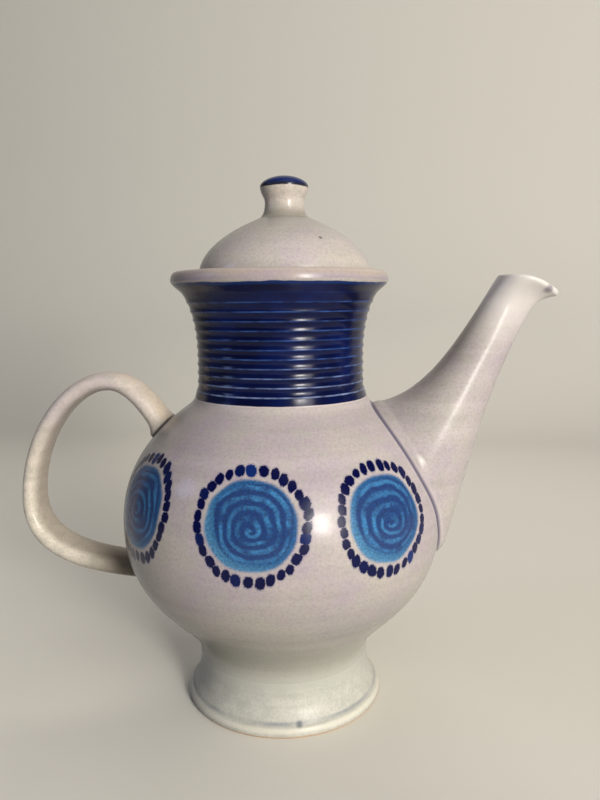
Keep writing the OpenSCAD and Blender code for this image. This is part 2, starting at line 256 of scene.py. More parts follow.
collarLow = drawCurve([(collar["foot"], zCollar), (collar["foot"] - 0.9, zCollar + 2.6),
                       (collar["radius"], zCollar + 5), (collar["radius"], zCollar + 10.5)], 8)
collarSide = collarLow + drawCurve([(collar["radius"], zCollar + 10.5), (collar["radius"], zCollar + 22),
                                    (collar["top"] - 6.2, zSeat - rim["drop"] - 13),
                                    (collar["top"], zSeat - rim["drop"])], 16, 1)
ribLow = zCollar + collar["start"]
ribHigh = ribLow + (collar["ribs"] - 1) * collar["pitch"]
ribbed = []
for k in range(collar["ribs"] - 1):
    for j in range(collar["ribParts"]):
        height = ribLow + (k + j / collar["ribParts"]) * collar["pitch"]
        hollow = collar["depth"] * sin(pi * j / collar["ribParts"]) ** collar["hollow"]
        ribbed.append((readOutline(collarSide, height) - max(hollow, 0.05 if j == 0 else 0), height))
flareStart = zSeat - rim["drop"]
aboveRibs = []
for quarter in (1, 2, 3):  # one shallow hollow above the highest rib
    height = mix(ribHigh, flareStart, quarter / 4)
    hollow = collar["depth"] * 0.5 * sin(radians(45 * quarter))
    aboveRibs.append((readOutline(collarSide, height) - hollow, height))
collarOutside = ([p for p in collarSide if p[1] < ribLow - 0.5] + ribbed
                 + [(readOutline(collarSide, ribHigh), ribHigh)] + aboveRibs
                 + drawCurve([(collar["top"], flareStart), (collar["top"] + 0.8, flareStart + 1.6),
                              (rim["radius"] - 0.7, zSeat - 2), (rim["radius"], zSeat)], 10))
collarInside = [p for p in sideStep(collarSide, collar["wall"])
                if zCollar + 1 < p[1] < zSeat - rim["ledge"] - 3.5]
collarPiece = throwPiece("ribbedCollar",
                         collarOutside + [(rim["throat"], zSeat), (rim["throat"], zSeat - rim["ledge"])]
                         + collarInside[::-1] + [(collar["foot"] - collar["wall"], zCollar)],
                         collar["turns"], angle=50)

# gallery rim: a rolled edge round the seat of the lid
lid = {"radius": 38.6, "height": 27.6, "edge": 2.4, "wall": 4.2, "skirt": 13, "skirtWall": 3.4,
       "shift": 2.5, "turns": 192}
seatRadius = lid["radius"] + rim["play"]
zRim = zSeat + rim["height"]
rimSide = drawCurve([(rim["radius"], zSeat), (rim["radius"] + 0.1, zSeat + rim["height"] * 0.5),
                     (rim["radius"] - 0.9, zRim), (rim["radius"] - 2.8, zRim)], 12)
rimPiece = throwPiece("galleryRim",
                      [(seatRadius, zSeat)] + rimSide
                      + drawCurve([(seatRadius + 1.6, zRim - 0.05), (seatRadius + 0.9, zRim - 0.3),
                                   (seatRadius + 0.3, zRim - 0.9), (seatRadius + 0.2, zRim - 1.8)], 5),
                      rim["turns"], angle=50)

# lid: a hollow dome, the skirt that locates it and the knob
knob = {"height": 18.4, "foot": 11.4, "waist": 8.7, "radius": 10.7, "crown": 4.6, "turns": 128}
zKnob = zSeat + lid["height"]
lidEdge = drawCurve([(lid["radius"] - 0.9, zSeat), (lid["radius"] - 0.2, zSeat + 0.1),
                     (lid["radius"], zSeat + 0.5), (lid["radius"], zSeat + 1.2)], 6)
domeSide = drawCurve([(lid["radius"], zSeat + lid["edge"]), (lid["radius"], zSeat + lid["edge"] + 8.2),
                      (knob["foot"] + 19.4, zKnob - 7.9), (knob["foot"], zKnob)], 48)
skirtRadius = rim["throat"] - rim["play"]
skirtInside = skirtRadius - lid["skirtWall"]
zSkirt = zSeat - lid["skirt"]
lidCave = [p for p in sideStep(domeSide[::2], lid["wall"])
           if p[1] > zSeat + 1.5 and p[0] < skirtInside - 0.5]
domePiece = throwPiece("lidDome",
                       [(skirtInside, zSeat)] + lidEdge + domeSide
                       + [(0, zKnob), (0, zKnob - lid["wall"])] + lidCave[::-1],
                       lid["turns"], centre=lid["shift"])
skirtPiece = throwPiece("lidSkirt",
                        [(skirtRadius, zSeat)]
                        + drawCurve([(skirtRadius, zSkirt + 1.6), (skirtRadius, zSkirt + 0.7),
                                     (skirtRadius - 0.6, zSkirt), (skirtRadius - 1.5, zSkirt)], 5)
                        + drawCurve([(skirtInside + 1.3, zSkirt), (skirtInside + 0.5, zSkirt),
                                     (skirtInside, zSkirt + 0.6), (skirtInside, zSkirt + 1.5)], 5)
                        + [(skirtInside, zSeat)],
                        lid["turns"], centre=lid["shift"])
knobHead = zKnob + knob["height"] - knob["crown"]
knobMiddle = mix(zKnob, knobHead, 0.5)
knobTop = zKnob + knob["height"]
knobPiece = throwPiece("lidKnob",
                       [(0, zKnob)]
                       + drawCurve([(knob["foot"], zKnob), (knob["waist"] + 0.9, zKnob + 1.2),
                                    (knob["waist"], zKnob + 3.2), (knob["waist"], knobMiddle)], 14)
                       + drawCurve([(knob["waist"], knobMiddle), (knob["waist"], knobMiddle + 2.6),
                                    (knob["radius"], knobHead - 3.2), (knob["radius"], knobHead)], 14, 1)
                       + drawCurve([(knob["radius"], knobHead), (knob["radius"], knobHead + 1.8),
                                    (knob["radius"] * 0.62, knobTop), (0, knobTop)], 18, 1),
                       knob["turns"], centre=lid["shift"], angle=60)

# what the spout and the handle share: a line's direction, and where they come out of the belly

def lineSlope(line, t, step, end):
    a, b = line(max(0, t - step)), line(min(end, t + step))
    length = hypot(b[0] - a[0], b[1] - a[1])
    return (b[0] - a[0]) / length, (b[1] - a[1]) / length


def comesOut(skin, low, high):  # skin gives a point along one line, in the belly at low and out at high
    for _ in range(26):
        middle = (low + high) / 2
        if offBelly(*skin(middle)) < 0:
            low = middle
        else:
            high = middle
    return high


def landOnBelly(point, sink):  # the point brought onto the belly, or a little into it
    radius = hypot(point[0], point[1])
    k = (bellyAt(point[2]) - sink) / radius
    return Vector((point[0] * k, point[1] * k, point[2]))


# spout: a hollow horn drawn between a back line and a front line, saddled onto the belly
spout = {"reach": 120, "lip": 185.6, "mouthRise": 8.6, "mouthLength": 24.4, "mouthWidth": 12.8,
         "crown": 2.4, "neck": 9.6, "root": 28, "saddleLow": 47.5, "saddleTop": 3, "rootWall": 5,
         "lipWall": 3, "edge": 0.4, "edgeReach": 4.5, "rootEgg": 0.3, "neckEgg": 0.1, "beakEgg": 0.42,
         "around": 72, "along": 84,
         "backPulls": ((23.2, 3.2), (-17, -28.6)), "rootPulls": ((2.5, 1), (-1, -3)),
         "frontPulls": ((10.7, 38.7), (-18.4, -37.8)), "beakPulls": ((3, 6.2), (-4.5, -0.5))}
lipPoint = (spout["reach"], spout["lip"])
mouthBack = (spout["reach"] - spout["mouthLength"], spout["lip"] + spout["mouthRise"])
rootTop = (bellyAt(zCollar - spout["saddleTop"]) + 0.5, zCollar - spout["saddleTop"])
rootLow = (bellyAt(zBelly + spout["saddleLow"]) - 0.6, zBelly + spout["saddleLow"])
throatStart = (rootLow[0] + 6, rootLow[1] + 7.5)
throatEnd = (lipPoint[0] - 11.5, lipPoint[1] - 8.3)
rootEnd, neckEnd = 0.12, 0.88  # where the front line changes from root to neck to beak


def spoutBack(t):
    return bezier(pulled(rootTop, mouthBack, *spout["backPulls"]), t)


def spoutFront(t):
    if t < rootEnd:
        return bezier(pulled(rootLow, throatStart, *spout["rootPulls"]), t / rootEnd)
    if t < neckEnd:
        return bezier(pulled(throatStart, throatEnd, *spout["frontPulls"]),
                      (t - rootEnd) / (neckEnd - rootEnd))
    return bezier(pulled(throatEnd, lipPoint, *spout["beakPulls"]), (t - neckEnd) / (1 - neckEnd))


def spoutHalf(t):
    if t < neckEnd:
        widths = [(spout["root"], 0), (spout["root"] * 0.86, 0), (spout["neck"] + 4.5, 0), (spout["neck"], 0)]
        return bezier(widths, t / neckEnd)[0]
    return mix(spout["neck"], spout["mouthWidth"], ease((t - neckEnd) / (1 - neckEnd) * 0.75) * 1.185)


def spoutSkin(t, turn, inner):  # t along the spout, turn round it, inner 0 outside and 1 inside
    wall = inner * mix(spout["rootWall"], spout["lipWall"], ease(t * 1.2))
    u, v = lineSlope(spoutBack, t, 0.004, 1), lineSlope(spoutFront, t, 0.004, 1)
    back, front = spoutBack(t), spoutFront(t)
    px, pz = back[0] + wall * u[1], back[1] - wall * u[0]
    qx, qz = front[0] - wall * v[1], front[1] + wall * v[0]
    c, s = cos(turn), sin(turn)
    if t < 0.6:  # narrower in front than behind: much at the root, little at the neck, most at the beak
        egg = mix(spout["rootEgg"], spout["neckEgg"], ease(t / 0.6))
    else:
        egg = mix(spout["neckEgg"], spout["beakEgg"], ease((t - 0.75) / 0.25))
    pinch = 1 - egg * (sqrt(c * c + 0.05) - c) / 2
    lift = spout["crown"] * ease((t - 0.7) / 0.3) * s * s
    return Vector(((px + qx) / 2 + (px - qx) / 2 * c, (spoutHalf(t) - wall) * pinch * s,
                   (pz + qz) / 2 + (pz - qz) / 2 * c + lift))


def spoutStart(turn, inner):  # where a line of the spout's skin starts: at its root, or out of the belly
    if offBelly(*spoutSkin(0.0, turn, inner)) >= 0:
        return 0.0
    return comesOut(lambda t: spoutSkin(t, turn, inner), 0.0, 0.6)


def mouthEdge(turn, roll):  # the rounded edge of the mouth, from outside over to inside
    outer, inner, below = spoutSkin(1, turn, 0), spoutSkin(1, turn, 1), spoutSkin(0.985, turn, 0)
    out = (outer - below).normalized()
    half = (outer - inner) / 2
    return (outer + inner) / 2 + half * cos(roll) + out * half.length * sin(roll)


turnsRound = [2 * pi * j / spout["around"] for j in range(spout["around"])]
outerStart = [spoutStart(a, 0) for a in turnsRound]
innerStart = [spoutStart(a, 1) for a in turnsRound]
spoutSeam = [landOnBelly(spoutSkin(t, a, 0), 0) for t, a in zip(outerStart, turnsRound)]
rowSpread = [(i / spout["along"]) ** 1.15 for i in range(spout["along"] + 1)]
spoutRows = [[landOnBelly(p, 0.6) for p in spoutSeam]]
for s in rowSpread:
    row = []
    for a, t0 in zip(turnsRound, outerStart):
        t = mix(t0, 1, s)
        p = spoutSkin(t, a, 0)
        gap = offBelly(*p)
        if s == 0:
            row.append(landOnBelly(p, -0.15))
            continue
        if gap < spout["edgeReach"]:  # the pressed edge of the saddle stands a little proud, then turns in
            across = spoutSkin(t, a + pi, 0)
            swell = sin(pi * min(1, gap / spout["edgeReach"])) ** 1.5
            p = p + (p - across).normalized() * spout["edge"] * swell
        row.append(p)
    spoutRows.append(row)
for roll in range(20, 180, 20):
    spoutRows.append([mouthEdge(a, radians(roll)) for a in turnsRound])
for s in rowSpread[::-2]:
    spoutRows.append([spoutSkin(mix(t0, 1, s), a, 1) for a, t0 in zip(turnsRound, innerStart)])
spoutRows.append([landOnBelly(spoutSkin(t0, a, 1), 0.3) for a, t0 in zip(turnsRound, innerStart)])
spoutRows.append(spoutRows[0])
spoutPiece = pullPiece("pouringSpout", spoutRows, angle=50)

# handle: a pulled strap on a line from the shoulder, over the arch and back in low down
handle = {"reach": 123.4, "middle": 68.6, "top": 126.2, "arch": 82.4, "low": 35.8, "rootDrop": 28.4,
          "rootIn": 52.6, "lowIn": 60, "thick": 8.8, "wide": 17, "swell": 0.5, "around": 40,
          "along": 120, "rootRise": 64, "rootPull": 31,
          "archPulls": ((20.8, 0), (0, 28.6)), "lowPulls": ((0, -17), (53, 1)),
          "flare": 2.3, "flareDrift": 0.7, "flareReach": 7}
handleStart = (handle["rootIn"], zBelly + handle["top"] - handle["rootDrop"])
handleApex = (handle["arch"], zBelly + handle["top"])
handleOut = (handle["reach"], zBelly + handle["middle"])
handleEnd = (handle["lowIn"], zBelly + handle["low"])


def strapLine(t):
    if t < 1:
        rise = radians(handle["rootRise"])
        leaving = (handle["rootPull"] * cos(rise), handle["rootPull"] * sin(rise))
        return bezier(pulled(handleStart, handleApex, leaving, (-4.5, 0)), t)
    if t < 2:
        return bezier(pulled(handleApex, handleOut, *handle["archPulls"]), t - 1)
    return bezier(pulled(handleOut, handleEnd, *handle["lowPulls"]), t - 2)


def strapSkin(t, turn):
    x, z = strapLine(t)
    dx, dz = lineSlope(strapLine, t, 0.01, 3)
    s = 1 + handle["swell"] * 0.3 * (1 - ease(t)) + handle["swell"] * 0.5 * ease((t - 1.7) / 1.1)
    c, d = cos(turn), -sin(turn)
    out = handle["thick"] / 2 * s * abs(c) ** 0.9 * (1 if c > 0 else -1)
    side = handle["wide"] / 2 * (1 + (s - 1) * 0.6) * abs(d) ** 0.9 * (1 if d > 0 else -1)
    return Vector((-(x - dz * out), side, z + dx * out))


strapTurns = [2 * pi * j / handle["around"] for j in range(handle["around"])]
strapTops = [comesOut(lambda t: strapSkin(t, a), 0.0, 0.9) for a in strapTurns]
strapLows = [comesOut(lambda t: strapSkin(t, a), 3.0, 2.2) for a in strapTurns]
handleSeams = [[landOnBelly(strapSkin(t, a), 0) for t, a in zip(strapTops, strapTurns)],
               [landOnBelly(strapSkin(t, a), 0) for t, a in zip(strapLows, strapTurns)]]


def flareRoot(point, spine, turn):  # thumbed clay: the strap widens unevenly where it is pressed on
    gap = offBelly(*point)
    flare = handle["flare"] + handle["flareDrift"] * sin(3 * turn + 0.6)
    return point + (point - spine).normalized() * flare * max(0.0, 1 - gap / handle["flareReach"]) ** 2.4


strapRows = []
for i in range(handle["along"] + 1):
    s = i / handle["along"]
    s = mix(s, ease(s), 0.35)
    row = []
    for a, t0, t1 in zip(strapTurns, strapTops, strapLows):
        t = mix(t0, t1, s)
        x, z = strapLine(t)
        row.append(flareRoot(strapSkin(t, a), Vector((-x, 0, z)), a))
    strapRows.append(row)
strapRows = ([[landOnBelly(p, 1.0) for p in strapRows[0]], [landOnBelly(p, 0.2) for p in strapRows[0]]]
             + strapRows[1:-1]
             + [[landOnBelly(p, 0.2) for p in strapRows[-1]], [landOnBelly(p, 1.0) for p in strapRows[-1]]])
handlePiece = pullPiece("strapHandle", strapRows, angle=60, cap=True)

# numbers that the glazes follow: distances along the belly and from the joints
arcTable = [(0.0, bellySide[0][1])]
for (ra, za), (rb, zb) in zip(bellySide, bellySide[1:]):
    arcTable.append((arcTable[-1][0] + hypot(rb - ra, zb - za), zb))
medallionHeight = zBelly + 80.3


def alongBelly(height):
    return readOutline(arcTable, height)


def plantTree(points):  # finds the nearest of some points
    tree = KDTree(len(points))
    for i, point in enumerate(points):
        tree.insert(point, i)
    tree.balance()
    return tree


def seamReader(seams, inside):  # signed distance from a joint line, negative under the joined piece
    points = []
    for seam in seams:
        for a, b in zip(seam, seam[1:] + seam[:1]):
            points += [a.lerp(b, i / 12) for i in range(12)]
    tree = plantTree(points)

    def read(co):
        spot = Vector(co) / mm
        distance = tree.find(spot)[2]
        return -distance * mm if inside(spot) else distance * mm
    return read


def widthAt(seam, height):  # half width of a joint line at a height, zero where it doesn't reach
    best = 0.0
    for a, b in zip(seam, seam[1:] + seam[:1]):
        if (a.z - height) * (b.z - height) <= 0 and abs(b.z - a.z) > 1e-9:
            best = max(best, abs(a.lerp(b, (height - a.z) / (b.z - a.z)).y))
    return best


underSpout = seamReader([spoutSeam], lambda p: p.x > 0 and abs(p.y) < widthAt(spoutSeam, p.z))
underHandle = seamReader(
    handleSeams, lambda p: p.x < 0 and abs(p.y) < max(widthAt(s, p.z) for s in handleSeams))
writeValues(bellyPiece, "along", lambda co: (alongBelly(co.z / mm) - alongBelly(medallionHeight)) * mm)
writeValues(bellyPiece, "outside", lambda co: float(hypot(co.x, co.y) / mm > bellyAt(co.z / mm) - 1))
writeValues(bellyPiece, "spoutSeam", underSpout)
writeValues(bellyPiece, "handleSeam", underHandle)
for piece in (spoutPiece, handlePiece):
    writeValues(piece, "seam", lambda co: offBelly(co.x / mm, co.y / mm, co.z / mm) * mm)
strapSpine = [Vector((-x, 0, z)) for x, z in (strapLine(i / 80) for i in range(241))]  # its middle line
spineTree = plantTree(strapSpine)


def outOfSpine(co):  # how far a point of the strap lies to the outside of its bend
    flat = Vector((co.x / mm, 0, co.z / mm))
    i = spineTree.find(flat)[1]
    along = (strapSpine[min(i + 1, len(strapSpine) - 1)] - strapSpine[max(i - 1, 0)]).normalized()
    return (flat - strapSpine[i]).dot(Vector((-along.z, 0, along.x))) * -mm


writeValues(handlePiece, "outward", outOfSpine)
print("glaze guides written")

# glazes


def tint(code):  # sRGB hex to the linear numbers that a colour socket takes; what a node makes stays
    if not isinstance(code, str):
        return code
    parts = [int(code[i:i + 2], 16) / 255 for i in (1, 3, 5)]
    return tuple(p / 12.92 if p <= 0.04045 else ((p + 0.055) / 1.055) ** 2.4 for p in parts) + (1.0,)


def addNode(tree, kind, feeds=None, **settings):  # a node with its settings, its values and its links
    node = tree.nodes.new(kind)
    for name, value in settings.items():
        setattr(node, name, value)
    for socket, value in (feeds or {}).items():
        if isinstance(value, bpy.types.Node):  # a node stands for its first output
            value = value.outputs[0]
        if isinstance(value, bpy.types.NodeSocket):
            tree.links.new(value, node.inputs[socket])
        else:
            node.inputs[socket].default_value = value
    return node


def layOver(tree, ground, shade, by, low, high, most=1.0, least=0.0, soft=True):
    # a shade over the ground: as much as most where the value is at low, down to least at high
    mask = addNode(tree, "ShaderNodeMapRange", {0: by, 1: low, 2: high, 3: most, 4: least},
                   interpolation_type="SMOOTHSTEP" if soft else "LINEAR")
    return addNode(tree, "ShaderNodeMix", {0: mask, 6: tint(ground), 7: tint(shade)},
                   data_type="RGBA").outputs[2]


# Salt-grey stoneware glaze: a milky, slightly lilac coat that thins to cream over edges, on a body with
# fine iron specks. It was poured and wiped, so its thickness drifts, and it fired to a soft gloss.
greyGlaze = {"lilac": "#b6a9af", "warm": "#bfb6af", "thin": "#cfc9bd", "melt": "#b3b3a2",
             "grain": "#8f838d", "speck": "#5e5560",
             "cloudSize": 34, "meltSize": 6, "grainSize": 1.1, "speckSpacing": 7.0, "peelSize": 3.2,
             "wipe": (9.0, 9.0, 260.0), "gloss": 0.21, "bump": 0.06, "ior": 1.33}
# Cobalt glaze, brushed thick on the turning pot: near black where it pools, light where it breaks on an edge.
cobaltGlaze = {"deep": "#01062c", "bright": "#051a56", "crest": "#2a4c8c", "lowCrest": "#8595bc",
               "edge": "#06306e"}
# Cobalt wash and dabs under the glaze: a full brush turned in a spiral, and a ring of pressed brush tips.
brushwork = {"deep": "#00326c", "wash": "#0b5286", "dry": "#4480a8", "stroke": "#2f74a8",
             "dab": "#01053a", "thinDab": "#0c2a6c", "bleed": "#3c4280",
             "disc": 18.4, "flatten": 0.955, "ragged": 1.4, "wander": 2.2, "dryLow": 16.5, "dryHigh": 21.5,
             "dryWay": (-0.22, -0.2, 0), "band": 15.9, "bandShift": (0.7, 1.0, 0), "bandRagged": 3.4,
             "spiral": 3.9, "sink": 2.3, "ring": 21.5, "dabs": 31, "dabWide": 3.6, "dabTall": 4.9,
             "dabStray": 0.9, "dabSlip": 0.18, "dabLean": 0.4}
# where each medallion sits round the belly: eighths of a turn from the spout, with how far its painter
# missed, in degrees round and in millimetres up
medallions = {-1: (-0.6, -1.5), -2: (-0.9, 0.0), -3: (-4.1, -0.8),
              1: (0.8, 0.6), 2: (-0.7, -0.5), 3: (1.1, 0.3)}


def groundGlaze(tree, place, look, thinLow=None, thinHigh=None):
    # colour, roughness and height of the grey glaze, shifting from thinHigh down to thinLow to its low tone:
    # thin cream glaze on most pieces, on the belly a darker green-grey that is partly painted shade
    cloud = addNode(tree, "ShaderNodeTexNoise", {"Vector": place, "Scale": 1000 / look["cloudSize"],
                                                 "Detail": 3.0, "Roughness": 0.55})
    colour = layOver(tree, look["lilac"], look["warm"], cloud, 0.62, 0.38, soft=False)
    axes = addNode(tree, "ShaderNodeSeparateXYZ", {0: place})
    if thinLow is not None:
        colour = layOver(tree, colour, look["thin"], axes.outputs[2], thinLow * mm, thinHigh * mm, 0.85)
    melt = addNode(tree, "ShaderNodeTexNoise", {"Vector": place, "Scale": 1000 / look["meltSize"],
                                                "Detail": 4.0, "Roughness": 0.65})
    colour = layOver(tree, colour, look["melt"], melt, 0.64, 0.42, 0.45, soft=False)
    # wiping marks run round the pot, about 4 mm apart
    bands = addNode(tree, "ShaderNodeMapping", {0: place, 3: look["wipe"]})
    wipe = addNode(tree, "ShaderNodeTexNoise", {"Vector": bands, "Scale": 1.0, "Detail": 3.0})
    # mottling of the melt, and iron specks that bleed through
    grain = addNode(tree, "ShaderNodeTexNoise", {"Vector": place, "Scale": 1000 / look["grainSize"],
                                                 "Detail": 2.0, "Roughness": 0.7})
    colour = layOver(tree, colour, look["grain"], grain, 0.75, 0.42, 0.42, soft=False)
    cells = addNode(tree, "ShaderNodeTexVoronoi", {"Vector": place, "Scale": 1000 / look["speckSpacing"]})
    colour = layOver(tree, colour, look["speck"], cells.outputs["Distance"], 0.02, 0.05, 0.4, soft=False)
    light = addNode(tree, "ShaderNodeMapRange", {0: wipe, 1: 0.3, 2: 0.7, 3: 0.94, 4: 1.06})
    colour = addNode(tree, "ShaderNodeHueSaturation", {"Value": light, "Color": colour})
    # the glaze's skin: faint ridges of the wiping, and the soft peel of a thick melt
    peel = addNode(tree, "ShaderNodeTexNoise", {"Vector": place, "Scale": 1000 / look["peelSize"],
                                                "Detail": 1.5})
    height = addNode(tree, "ShaderNodeMath", {0: wipe, 1: 0.9, 2: peel}, operation="MULTIPLY_ADD")
    rough = addNode(tree, "ShaderNodeMapRange", {0: cloud, 1: 0.3, 2: 0.7,
                                                 3: look["gloss"] - 0.02, 4: look["gloss"] + 0.05})
    return colour, rough, height, axes


def findMedallion(tree, axes):
    # the nearest of eight places round the belly, and the way from its middle over the belly's skin
    upward = addNode(tree, "ShaderNodeAttribute", attribute_name="along")
    angle = addNode(tree, "ShaderNodeMath", {0: axes.outputs[1], 1: axes.outputs[0]}, operation="ARCTAN2")
    eighths = addNode(tree, "ShaderNodeMath", {0: angle, 1: 4 / pi}, operation="MULTIPLY")
    index = addNode(tree, "ShaderNodeMath", {0: eighths}, operation="ROUND")
    offset = addNode(tree, "ShaderNodeMath", {0: eighths, 1: index}, operation="SUBTRACT")
    height = upward.outputs["Fac"]
    for number, (aside, up) in medallions.items():
        this = addNode(tree, "ShaderNodeMath", {0: index, 1: number, 2: 0.1}, operation="COMPARE")
        offset = addNode(tree, "ShaderNodeMath", {0: this, 1: -aside / 45, 2: offset},
                         operation="MULTIPLY_ADD")
        height = addNode(tree, "ShaderNodeMath", {0: this, 1: -up * mm, 2: height},
                         operation="MULTIPLY_ADD")
    flat = addNode(tree, "ShaderNodeCombineXYZ", {0: axes.outputs[0], 1: axes.outputs[1]})
    radius = addNode(tree, "ShaderNodeVectorMath", {0: flat}, operation="LENGTH")
    arc = addNode(tree, "ShaderNodeMath", {0: radius.outputs["Value"], 1: pi / 4}, operation="MULTIPLY")
    across = addNode(tree, "ShaderNodeMath", {0: offset, 1: arc}, operation="MULTIPLY")
    # each medallion lies at a depth of its own, so that no two are brushed alike
    layer = addNode(tree, "ShaderNodeMath", {0: index, 1: 0.11}, operation="MULTIPLY")
    return index, addNode(tree, "ShaderNodeCombineXYZ", {0: across, 1: height, 2: layer})


def brushSpiral(tree, oval, reach, water, broken):
    # the dark band of a full brush, a little off the middle of its disc, and the light grooves of its
    # spiral, whose turns lie closer below its middle than above
    look = brushwork
    sink = addNode(tree, "ShaderNodeMapRange", {0: reach, 1: 0.0, 2: look["disc"] * mm, 3: look["sink"] * mm,
                                                4: 0.0})
    lift = addNode(tree, "ShaderNodeCombineXYZ", {1: sink})
    wound = addNode(tree, "ShaderNodeVectorMath", {0: oval, 1: lift}, operation="ADD")
    coilReach = addNode(tree, "ShaderNodeVectorMath", {0: wound}, operation="LENGTH").outputs["Value"]
    sides = addNode(tree, "ShaderNodeSeparateXYZ", {0: wound})
    angle = addNode(tree, "ShaderNodeMath", {0: sides.outputs[1], 1: sides.outputs[0]}, operation="ARCTAN2")
    turns = addNode(tree, "ShaderNodeMath", {0: angle, 1: -1 / (2 * pi)}, operation="MULTIPLY")
    coil = addNode(tree, "ShaderNodeMath", {0: coilReach, 1: 1000 / look["spiral"], 2: turns},
                   operation="MULTIPLY_ADD")
    bend = addNode(tree, "ShaderNodeMath", {0: water, 1: 1.5, 2: coil}, operation="MULTIPLY_ADD")
    phase = addNode(tree, "ShaderNodeMath", {0: bend}, operation="FRACT")
    centred = addNode(tree, "ShaderNodeMath", {0: phase, 1: 0.5}, operation="SUBTRACT")
    away = addNode(tree, "ShaderNodeMath", {0: centred}, operation="ABSOLUTE")
    groove = addNode(tree, "ShaderNodeMapRange", {0: away, 1: 0.08, 2: 0.35, 3: 1.0, 4: 0.0},
                     interpolation_type="SMOOTHSTEP")
    press = addNode(tree, "ShaderNodeMapRange", {0: broken, 1: 0.36, 2: 0.6, 3: 0.1, 4: 1.0})
    groove = addNode(tree, "ShaderNodeMath", {0: groove, 1: press}, operation="MULTIPLY")
    shifted = addNode(tree, "ShaderNodeVectorMath", {0: oval, 1: [c * mm for c in look["bandShift"]]},
                      operation="SUBTRACT")
    bandReach = addNode(tree, "ShaderNodeVectorMath", {0: shifted}, operation="LENGTH")
    bandEdge = addNode(tree, "ShaderNodeMath", {0: water, 1: look["bandRagged"] * mm,
                                                2: bandReach.outputs["Value"]},
                       operation="MULTIPLY_ADD")
    band = addNode(tree, "ShaderNodeMapRange", {0: bandEdge, 1: (look["band"] + 0.9) * mm,
                                                2: (look["band"] + 2.2) * mm, 3: 0.95, 4: 0.0},
                   interpolation_type="SMOOTHSTEP")
    return band, addNode(tree, "ShaderNodeMath", {0: groove, 1: band}, operation="MULTIPLY")


def brushDisc(tree, spot, oval, ragged):
    # disc of watery wash with a soft edge, which ran dry low on the left, under the spiral
    look = brushwork
    reach = addNode(tree, "ShaderNodeVectorMath", {0: oval}, operation="LENGTH").outputs["Value"]
    edge = addNode(tree, "ShaderNodeMath", {0: ragged, 1: look["ragged"] * mm, 2: reach},
                   operation="MULTIPLY_ADD")
    disc = addNode(tree, "ShaderNodeMapRange", {0: edge, 1: (look["disc"] - 0.3) * mm,
                                                2: (look["disc"] + 1.5) * mm, 3: 0.96, 4: 0.0},
                   interpolation_type="SMOOTHSTEP")
    low = addNode(tree, "ShaderNodeVectorMath", {0: oval, 1: look["dryWay"]}, operation="DOT_PRODUCT")
    dry = addNode(tree, "ShaderNodeMath", {0: reach, 1: low.outputs["Value"]}, operation="ADD")
    blue = layOver(tree, look["wash"], look["dry"], dry, look["dryHigh"] * mm, look["dryLow"] * mm, 0.9,
                   soft=False)
    water = addNode(tree, "ShaderNodeTexNoise", {"Vector": spot, "Scale": 75.0, "Detail": 2.0})
    broken = addNode(tree, "ShaderNodeTexNoise", {"Vector": spot, "Scale": 150.0, "Detail": 2.0})
    band, stroke = brushSpiral(tree, oval, reach, water, broken)
    for mask, paint in ((band, look["deep"]), (stroke, look["stroke"])):
        blue = addNode(tree, "ShaderNodeMix", {0: mask, 6: blue, 7: tint(paint)}, data_type="RGBA").outputs[2]
    # the melt breaks the wash into fine light and dark grains of half a millimetre
    grains = addNode(tree, "ShaderNodeTexNoise", {"Vector": spot, "Scale": 1000.0, "Detail": 2.0,
                                                  "Roughness": 0.8})
    speckle = addNode(tree, "ShaderNodeMapRange", {0: grains, 1: 0.3, 2: 0.7, 3: 0.5, 4: 1.5})
    return disc, addNode(tree, "ShaderNodeHueSaturation", {"Value": speckle, "Color": blue})


